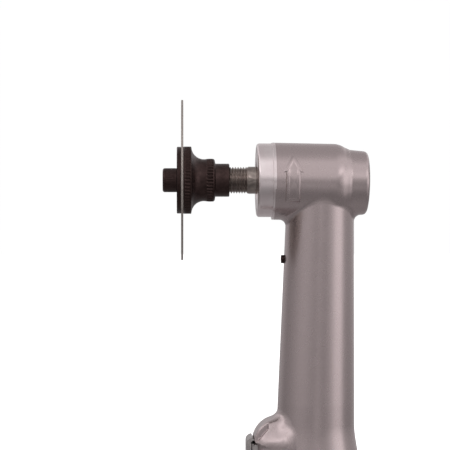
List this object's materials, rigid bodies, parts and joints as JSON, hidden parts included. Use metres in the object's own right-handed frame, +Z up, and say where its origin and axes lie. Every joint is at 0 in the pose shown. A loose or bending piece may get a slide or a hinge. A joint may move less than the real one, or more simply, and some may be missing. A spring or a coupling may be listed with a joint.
{
  "type": "right-angle disc handpiece",
  "caption": "Air-driven right-angle handpiece: painted angle head and neck, side-facing thin disc on a screwed knurled arbor, throttle lever, threaded air inlet.",
  "frame": {"origin": "centre of the air inlet's mouth, on the neck axis", "axes": "+Z up the handle and neck to the head, -X forward along the spindle to the disc, -Y the side with the raised arrow"},
  "size_m": [0.0777, 0.06, 0.235],
  "materials": {
    "painted_casting": "satin silver spray paint on an aluminium casting",
    "machined_aluminium": "turned, clear anodised",
    "ground_steel": "turned and ground",
    "black_oxide": "black oxide, lightly oiled",
    "disc_steel": "rolled steel with a bonded grit rim",
    "gear_steel": "cut and case hardened",
    "bearing_steel": "ground and polished",
    "brass": "turned",
    "nitrile": "matt",
    "gasket_fibre": "pressed fibre",
    "felt": "pressed wool felt",
    "phenolic": "cotton-filled phenolic",
    "lever_steel": "pressed sheet, satin nickel plated"
  },
  "bodies": {
    "handpiece": {"main_housing": "painted_casting", "front_bearing_cap": "machined_aluminium", "spindle_seal": "nitrile", "front_bearing_outer": "bearing_steel", "rear_bearing_outer": "bearing_steel", "preload_washer": "ground_steel", "pinion_cartridge": "machined_aluminium", "upper_pinion_bearing_outer": "bearing_steel", "lower_pinion_bearing_outer": "bearing_steel", "cartridge_circlip": "black_oxide", "cartridge_set_screw": "black_oxide", "motor_cylinder": "machined_aluminium", "motor_front_plate": "machined_aluminium", "motor_rear_plate": "machined_aluminium", "motor_front_bearing_outer": "bearing_steel", "motor_rear_bearing_outer": "bearing_steel", "cylinder_dowel": "ground_steel", "backhead": "painted_casting", "backhead_gasket": "gasket_fibre", "backhead_screws": "black_oxide", "inlet_bushing": "machined_aluminium", "inlet_washer": "brass", "inlet_strainer": "brass", "muffler_felt": "felt", "valve_seat": "brass", "valve_spring": "ground_steel", "valve_plug": "ground_steel", "lever_pin": "ground_steel"},
    "spindle_set": {"spindle": "ground_steel", "bevel_gear": "gear_steel", "gear_key": "ground_steel", "front_bearing_inner": "bearing_steel", "rear_bearing_inner": "bearing_steel", "spindle_circlip": "black_oxide", "arbor_hub": "black_oxide", "cutting_disc": "disc_steel", "clamp_washer": "black_oxide", "clamp_screw": "black_oxide"},
    "drive_train": {"pinion_shaft": "gear_steel", "pinion_spacer": "ground_steel", "upper_pinion_bearing_inner": "bearing_steel", "lower_pinion_bearing_inner": "bearing_steel", "quill_shaft": "ground_steel", "rotor": "ground_steel", "vanes": "phenolic", "motor_front_bearing_inner": "bearing_steel", "motor_rear_bearing_inner": "bearing_steel"},
    "front_bearing_balls_set": {"front_bearing_balls": "bearing_steel"},
    "rear_bearing_balls_set": {"rear_bearing_balls": "bearing_steel"},
    "upper_pinion_bearing_balls_set": {"upper_pinion_bearing_balls": "bearing_steel"},
    "lower_pinion_bearing_balls_set": {"lower_pinion_bearing_balls": "bearing_steel"},
    "motor_front_bearing_balls_set": {"motor_front_bearing_balls": "bearing_steel"},
    "motor_rear_bearing_balls_set": {"motor_rear_bearing_balls": "bearing_steel"},
    "lever": {"throttle_lever": "lever_steel"},
    "valve": {"throttle_valve": "ground_steel", "valve_o_ring": "nitrile"},
    "deflector": {"exhaust_deflector": "black_oxide"},
    "regulator": {"speed_regulator": "ground_steel", "regulator_o_ring": "nitrile"}
  },
  "joints": [
    {"name": "spindle_spin", "type": "hinge", "parent": "handpiece", "child": "spindle_set", "pos_m": [0, 0, 0.205], "axis": [-1, 0, 0], "continuous": true},
    {"name": "drive_spin", "type": "hinge", "parent": "handpiece", "child": "drive_train", "pos_m": [0, 0, 0], "axis": [0, 0, 1], "continuous": true},
    {"name": "front_bearing_cage_spin", "type": "hinge", "parent": "handpiece", "child": "front_bearing_balls_set", "pos_m": [0, 0, 0.205], "axis": [-1, 0, 0], "continuous": true},
    {"name": "rear_bearing_cage_spin", "type": "hinge", "parent": "handpiece", "child": "rear_bearing_balls_set", "pos_m": [0, 0, 0.205], "axis": [-1, 0, 0], "continuous": true},
    {"name": "upper_pinion_bearing_cage_spin", "type": "hinge", "parent": "handpiece", "child": "upper_pinion_bearing_balls_set", "pos_m": [0, 0, 0], "axis": [0, 0, 1], "continuous": true},
    {"name": "lower_pinion_bearing_cage_spin", "type": "hinge", "parent": "handpiece", "child": "lower_pinion_bearing_balls_set", "pos_m": [0, 0, 0], "axis": [0, 0, 1], "continuous": true},
    {"name": "motor_front_bearing_cage_spin", "type": "hinge", "parent": "handpiece", "child": "motor_front_bearing_balls_set", "pos_m": [0, 0, 0], "axis": [0, 0, 1], "continuous": true},
    {"name": "motor_rear_bearing_cage_spin", "type": "hinge", "parent": "handpiece", "child": "motor_rear_bearing_balls_set", "pos_m": [0, 0, 0], "axis": [0, 0, 1], "continuous": true},
    {"name": "lever_press", "type": "hinge", "parent": "handpiece", "child": "lever", "pos_m": [-0.0208, 0, 0.101], "axis": [0, -1, 0], "range_deg": [0, 3], "stiffness_Nm_per_rad": 2, "springref_deg": -3.44},
    {"name": "valve_stroke", "type": "slide", "parent": "handpiece", "child": "valve", "axis": [1, 0, 0], "range_m": [0, 0.00373], "deforming": ["valve_spring"]},
    {"name": "deflector_turn", "type": "hinge", "parent": "handpiece", "child": "deflector", "pos_m": [0, 0, 0.008], "axis": [0, 0, 1], "continuous": true},
    {"name": "regulator_turn", "type": "hinge", "parent": "handpiece", "child": "regulator", "pos_m": [-0.0095, 0, 0.0366], "axis": [0, 1, 0], "range_deg": [0, 90]}
  ],
  "couplings": [
    {"joint": "drive_spin", "follows": "spindle_spin", "ratio": -1.5385},
    {"joint": "front_bearing_cage_spin", "follows": "spindle_spin", "ratio": 0.40063},
    {"joint": "rear_bearing_cage_spin", "follows": "spindle_spin", "ratio": 0.39204},
    {"joint": "upper_pinion_bearing_cage_spin", "follows": "spindle_spin", "ratio": -0.63333},
    {"joint": "lower_pinion_bearing_cage_spin", "follows": "spindle_spin", "ratio": -0.63333},
    {"joint": "motor_front_bearing_cage_spin", "follows": "spindle_spin", "ratio": -0.63333},
    {"joint": "motor_rear_bearing_cage_spin", "follows": "spindle_spin", "ratio": -0.63333},
    {"joint": "valve_stroke", "follows": "lever_press", "m_per_rad": 0.071}
  ]
}
